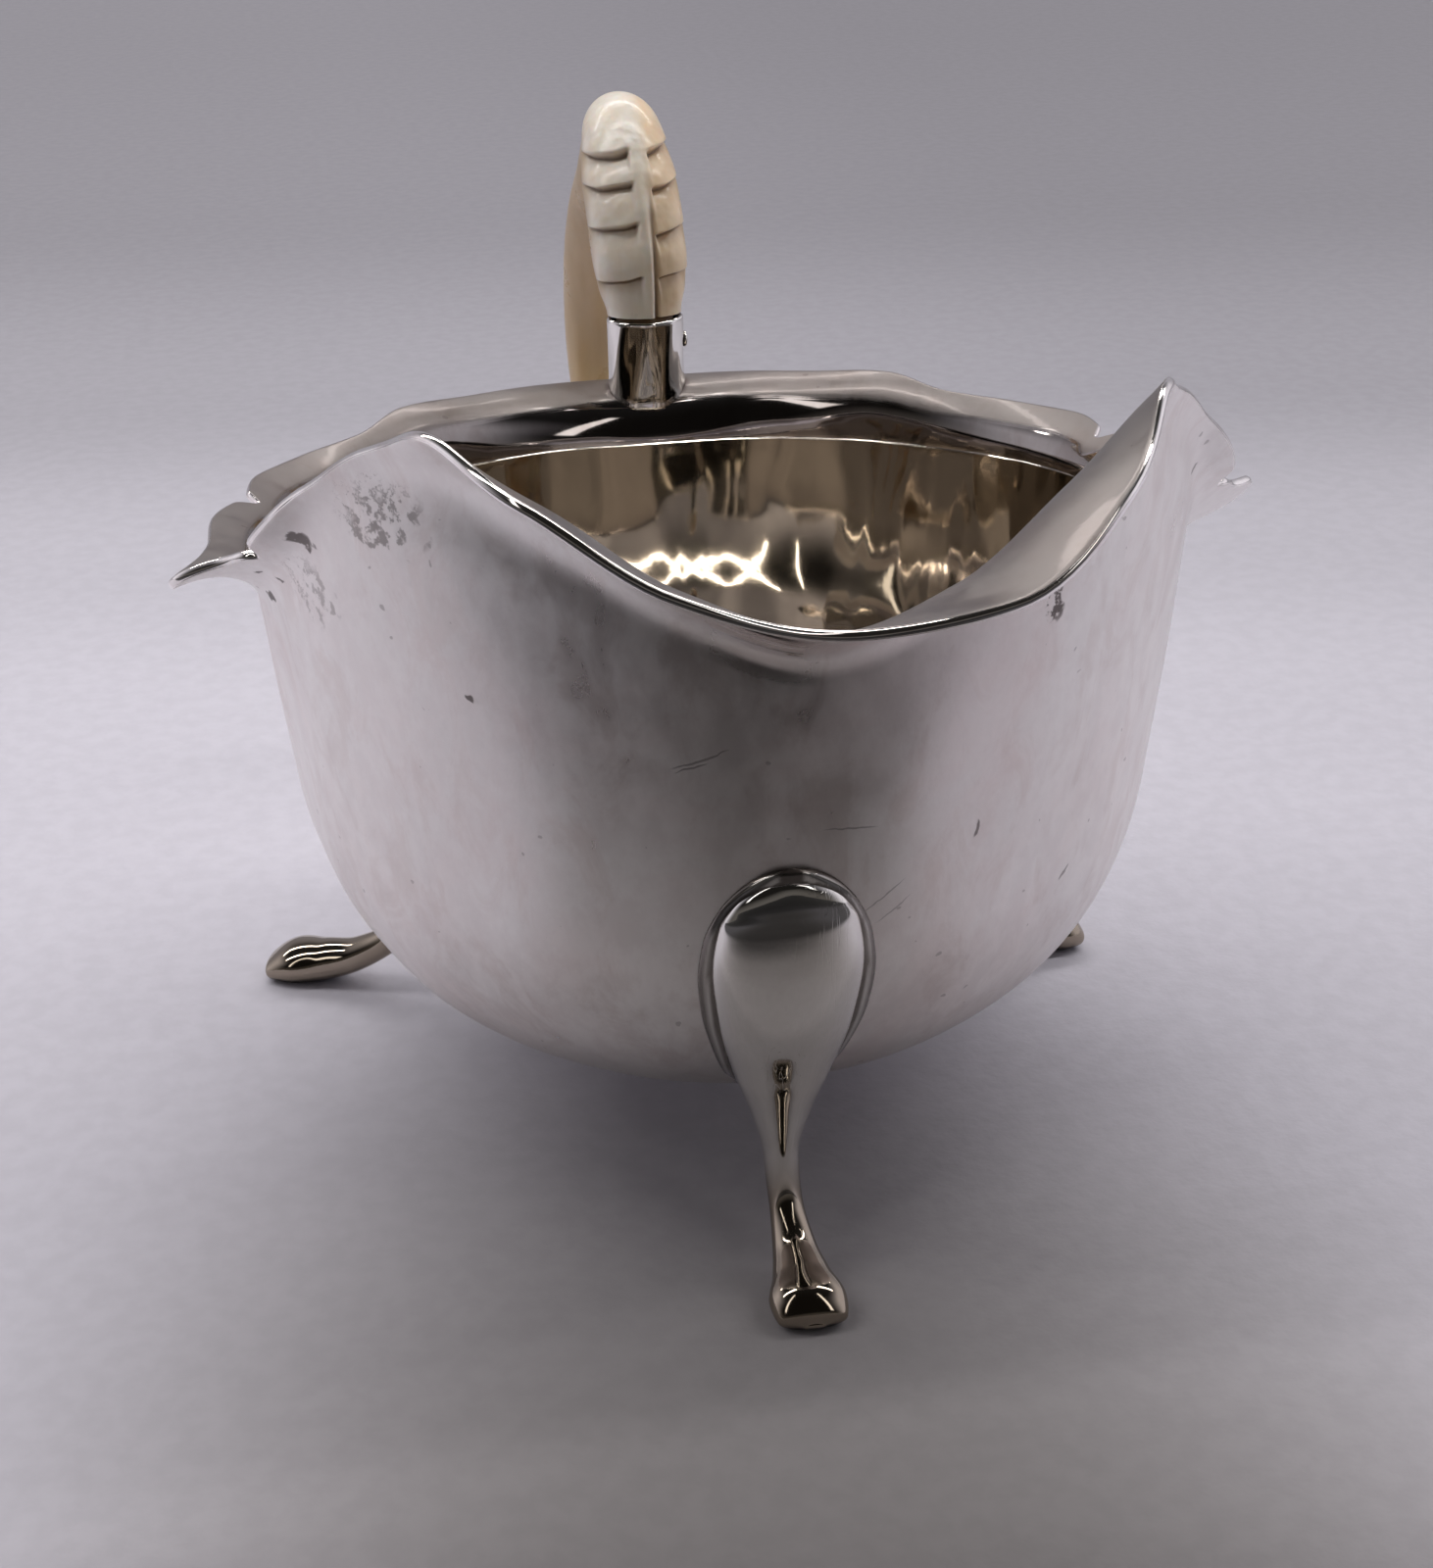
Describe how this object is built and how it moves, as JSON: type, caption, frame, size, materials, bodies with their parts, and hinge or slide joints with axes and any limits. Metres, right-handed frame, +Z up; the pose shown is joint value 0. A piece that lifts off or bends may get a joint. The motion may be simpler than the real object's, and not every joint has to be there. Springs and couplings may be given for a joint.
{
  "type": "footed cream boat",
  "caption": "Raised metal cream boat with a wide pouring lip, cut and flared rim, domed spatula legs with pad feet, and a carved loop handle pinned into sockets, for pouring cream or sauce.",
  "frame": {"origin": "on the ground, under the middle of the whole boat's box", "axes": "+Z up, -Y towards the pouring lip, +Y towards the handle, +X to the right seen from the lip"},
  "size_m": [0.0924, 0.1352, 0.0817],
  "materials": {
    "satin_silver": "worn satin silver outside with fine scratches and tarnish spots, worn gilt inside",
    "bright_silver": "polished cast silver",
    "carved_ivory": "carved and polished ivory-like bone, cream to honey coloured"
  },
  "bodies": {
    "root": {"bowl": "satin_silver", "front_leg": "bright_silver", "left_rear_leg": "bright_silver", "right_rear_leg": "bright_silver", "upper_handle_socket": "bright_silver", "lower_handle_socket": "bright_silver", "handle": "carved_ivory", "upper_handle_pin": "bright_silver", "lower_handle_pin": "bright_silver"}
  },
  "joints": []
}
